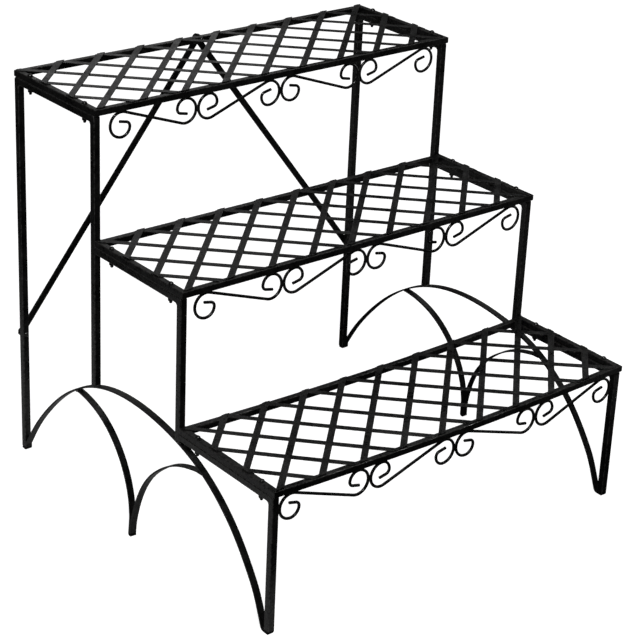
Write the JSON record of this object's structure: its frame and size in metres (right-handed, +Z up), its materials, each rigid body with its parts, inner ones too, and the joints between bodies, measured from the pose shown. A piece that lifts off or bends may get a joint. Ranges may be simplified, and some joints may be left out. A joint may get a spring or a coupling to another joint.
{
  "type": "stepped plant stand",
  "caption": "Black steel stepped plant stand: lattice shelves on bent tube side frames with flat-bar arches, wire scrolls and diagonal back braces.",
  "frame": {"origin": "on the floor, under the centre of the whole stand", "axes": "+X to the right along the shelves, -Y to the front (the lowest shelf), +Z up"},
  "size_m": [0.621, 0.6026, 0.5798],
  "materials": {
    "tube_frame": "semi-gloss powder coat",
    "flat_bar": "semi-gloss powder coat",
    "shelf_rim": "semi-gloss powder coat",
    "lattice": "semi-gloss powder coat",
    "scroll_wire": "semi-gloss powder coat",
    "fastener": "dark coated steel"
  },
  "bodies": {
    "root": {"left_back_hoop": "tube_frame", "left_middle_bend": "tube_frame", "left_low_bend": "tube_frame", "left_main_arch": "flat_bar", "left_rear_inner_arch": "flat_bar", "left_front_inner_arch": "flat_bar", "right_back_hoop": "tube_frame", "right_middle_bend": "tube_frame", "right_low_bend": "tube_frame", "right_main_arch": "flat_bar", "right_rear_inner_arch": "flat_bar", "right_front_inner_arch": "flat_bar", "top_back_rail": "shelf_rim", "top_front_rail": "shelf_rim", "top_left_rail": "shelf_rim", "top_right_rail": "shelf_rim", "top_lower_strips": "lattice", "top_upper_strips": "lattice", "top_scroll_1": "scroll_wire", "top_scroll_2": "scroll_wire", "top_scroll_3": "scroll_wire", "top_scroll_4": "scroll_wire", "top_shelf_bolts": "fastener", "top_shelf_nuts": "fastener", "middle_back_rail": "shelf_rim", "middle_front_rail": "shelf_rim", "middle_left_rail": "shelf_rim", "middle_right_rail": "shelf_rim", "middle_lower_strips": "lattice", "middle_upper_strips": "lattice", "middle_scroll_1": "scroll_wire", "middle_scroll_2": "scroll_wire", "middle_scroll_3": "scroll_wire", "middle_scroll_4": "scroll_wire", "middle_shelf_bolts": "fastener", "middle_shelf_nuts": "fastener", "bottom_back_rail": "shelf_rim", "bottom_front_rail": "shelf_rim", "bottom_left_rail": "shelf_rim", "bottom_right_rail": "shelf_rim", "bottom_lower_strips": "lattice", "bottom_upper_strips": "lattice", "bottom_scroll_1": "scroll_wire", "bottom_scroll_2": "scroll_wire", "bottom_scroll_3": "scroll_wire", "bottom_scroll_4": "scroll_wire", "bottom_shelf_bolts": "fastener", "bottom_shelf_nuts": "fastener", "left_brace": "flat_bar", "right_brace": "flat_bar", "brace_leg_bolts": "fastener", "brace_centre_bolt": "fastener", "brace_nuts": "fastener"}
  },
  "joints": []
}
